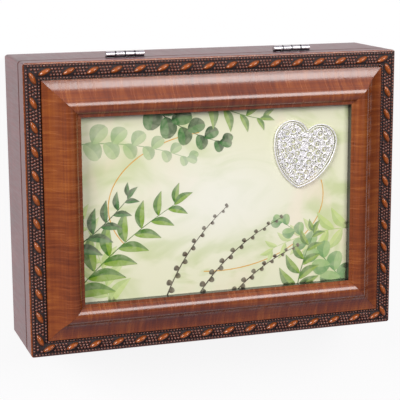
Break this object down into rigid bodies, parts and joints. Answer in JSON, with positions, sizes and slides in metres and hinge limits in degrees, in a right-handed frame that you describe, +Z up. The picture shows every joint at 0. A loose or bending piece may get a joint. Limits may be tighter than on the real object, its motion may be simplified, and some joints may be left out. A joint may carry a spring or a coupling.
{
  "type": "keepsake box",
  "caption": "Rectangular hinged wooden keepsake box; its lid is a moulded picture frame with rope trim, a print and a silver heart, and its inside is lined with velvet.",
  "frame": {"origin": "centre of the felt underside, where the box stands", "axes": "+X to the right along the width, +Y to the back where the hinges are, +Z up through the lid"},
  "size_m": [0.2032, 0.1557, 0.0593],
  "materials": {
    "box_wood": "lacquered woodgrain",
    "frame_wood": "lacquered woodgrain",
    "rope_glaze": "dark glaze in the recesses",
    "base_board": "bare hardboard",
    "felt": "felt",
    "velvet": "velvet pile",
    "hinge_plating": "bright plating",
    "bright_steel": "bright",
    "print_card": "satin print",
    "backing_card": "plain board",
    "heart_silver": "silver plating"
  },
  "bodies": {
    "box": {"front_wall": "box_wood", "back_wall": "box_wood", "left_wall": "box_wood", "right_wall": "box_wood", "base_panel": "base_board", "base_brads": "bright_steel", "felt_base": "felt", "floor_lining": "velvet", "front_lining": "velvet", "back_lining": "velvet", "left_lining": "velvet", "right_lining": "velvet", "left_body_leaf": "hinge_plating", "right_body_leaf": "hinge_plating", "left_hinge_pin": "bright_steel", "right_hinge_pin": "bright_steel", "body_leaf_screws": "bright_steel"},
    "lid": {"front_rail": "frame_wood", "back_rail": "frame_wood", "left_rail": "frame_wood", "right_rail": "frame_wood", "front_rope_trim": "rope_glaze", "back_rope_trim": "rope_glaze", "left_rope_trim": "rope_glaze", "right_rope_trim": "rope_glaze", "print_sheet": "print_card", "backing_board": "backing_card", "frame_points": "bright_steel", "corner_nails": "bright_steel", "lid_lining": "velvet", "heart_ornament": "heart_silver", "left_lid_leaf": "hinge_plating", "right_lid_leaf": "hinge_plating", "lid_leaf_screws": "bright_steel"}
  },
  "joints": [
    {"name": "lid_hinge", "type": "hinge", "parent": "box", "child": "lid", "pos_m": [0, 0.078, 0.0387], "axis": [-1, 0, 0], "range_deg": [0, 105]}
  ]
}
